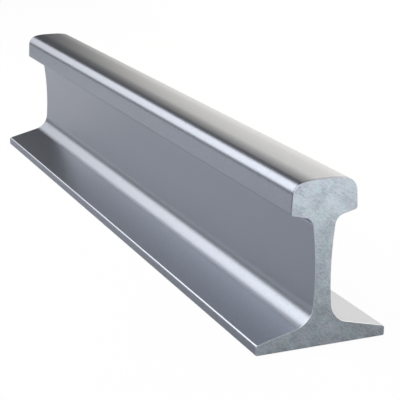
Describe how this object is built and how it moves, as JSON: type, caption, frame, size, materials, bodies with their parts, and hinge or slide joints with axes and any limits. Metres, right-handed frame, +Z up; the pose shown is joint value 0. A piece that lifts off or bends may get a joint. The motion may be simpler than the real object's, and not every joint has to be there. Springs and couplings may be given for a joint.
{
  "type": "railway rail section",
  "caption": "Cut length of heavy flat-bottom railway rail: bulbous head, slender web and wide sloping foot, hot rolled in one piece, with plain sawn ends.",
  "frame": {"origin": "on the underside of the foot, half way along the rail, on its plane of symmetry", "axes": "+X along the rail, +Y across it, +Z up from the foot to the head"},
  "size_m": [0.96, 0.15, 0.18],
  "materials": {
    "rolled_steel": "clean rolled steel with a soft sheen, matt sawn ends"
  },
  "bodies": {
    "root": {"rail": "rolled_steel"}
  },
  "joints": []
}
